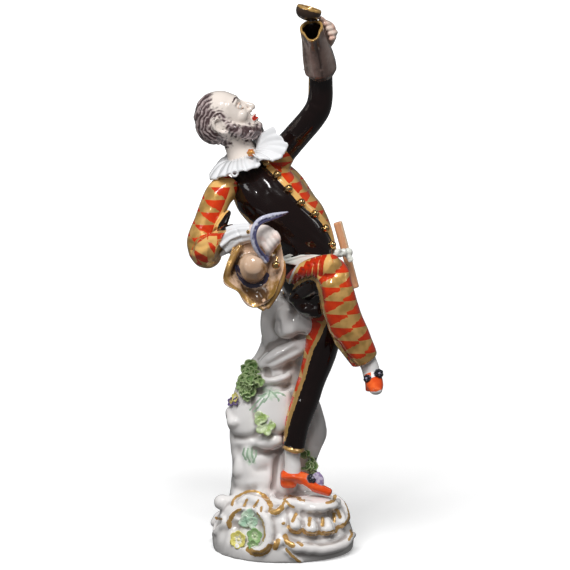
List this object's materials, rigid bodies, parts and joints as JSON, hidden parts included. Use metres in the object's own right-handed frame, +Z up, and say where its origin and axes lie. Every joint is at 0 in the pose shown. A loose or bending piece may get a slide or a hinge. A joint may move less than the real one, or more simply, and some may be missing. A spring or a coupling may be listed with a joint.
{
  "type": "commedia dell arte figure",
  "caption": "Painted porcelain statuette of a comedy player leaning back on a tree stump with a leg raised, a lidded jug held high and a hat at the hip, on a scrolled base.",
  "frame": {"origin": "middle of the base's flat underside", "axes": "+Z up; the figure's show side faces -Y, with the raised jug and leg towards +X and the head towards -X"},
  "size_m": [0.062, 0.0451, 0.1772],
  "materials": {
    "glazed_porcelain": "clear glossy glaze over white porcelain, painted in black-brown, red-orange, ochre, green and flesh colours, with polished gilding on edges"
  },
  "bodies": {
    "root": {"figure": "glazed_porcelain"}
  },
  "joints": []
}
